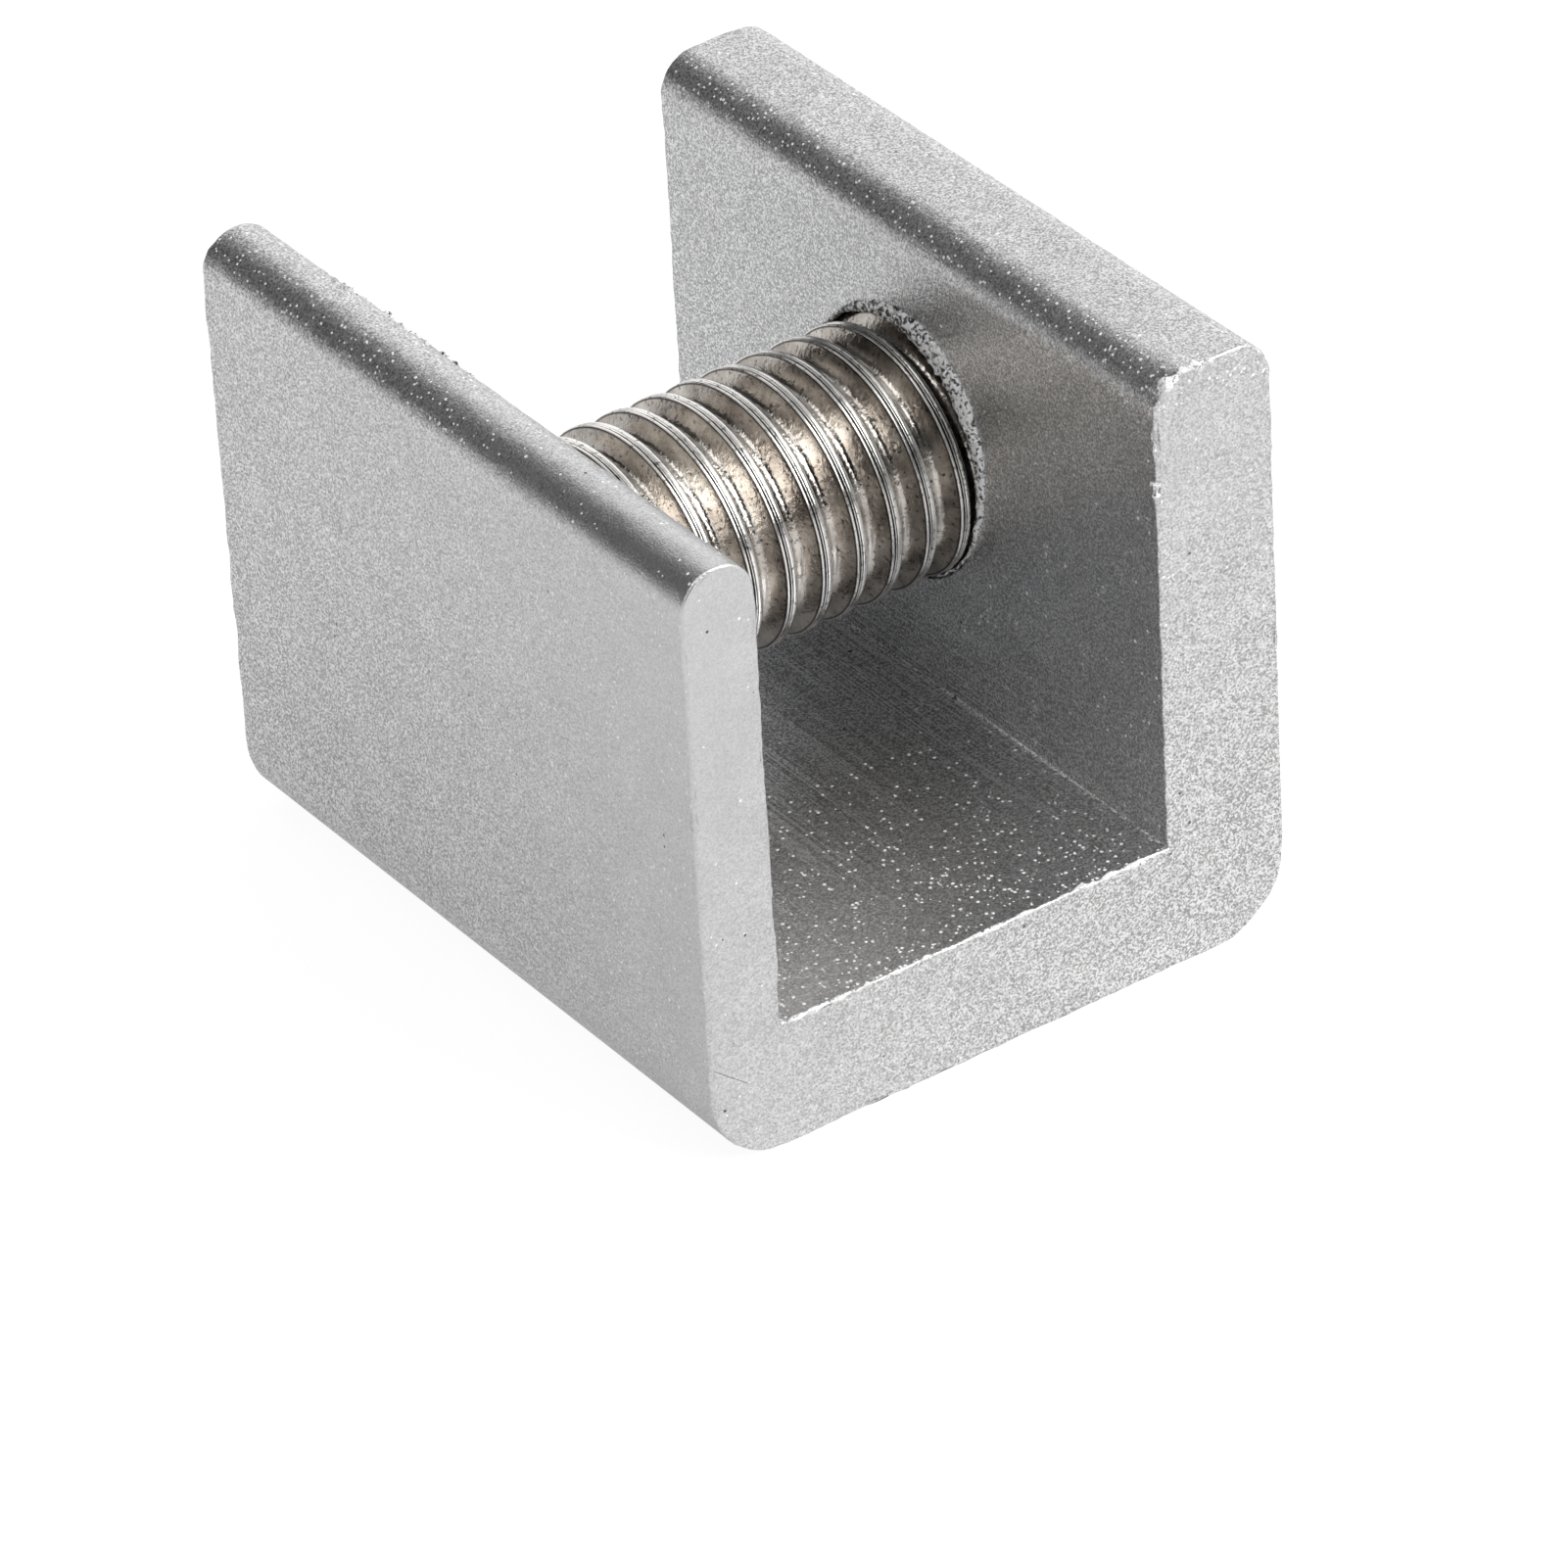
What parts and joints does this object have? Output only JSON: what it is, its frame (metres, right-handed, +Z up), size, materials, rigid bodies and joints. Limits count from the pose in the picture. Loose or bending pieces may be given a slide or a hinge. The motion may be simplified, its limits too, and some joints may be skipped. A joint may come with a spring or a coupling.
{
  "type": "sliding window lock",
  "caption": "Short thick-walled metal channel that straddles a window track, with a threaded grub screw through its thicker wall that clamps the track against the thinner one.",
  "frame": {"origin": "middle of the underside of the channel", "axes": "+X across the channel from the thin wall to the thick wall, along the screw; +Y along the channel, away from the end seen in the picture; +Z up, from the closed side to the open side"},
  "size_m": [0.0246, 0.0292, 0.024],
  "materials": {
    "anodised_aluminium": "bead blasted and clear anodised, fine matte grain",
    "plated_steel": "bright nickel plate over rolled thread"
  },
  "bodies": {
    "channel": {"channel_body": "anodised_aluminium"},
    "screw": {"clamp_screw": "plated_steel"}
  },
  "joints": [
    {"name": "screw_travel", "type": "slide", "parent": "channel", "child": "screw", "axis": [1, 0, 0], "range_m": [-0.0013, 0.0153]}
  ]
}
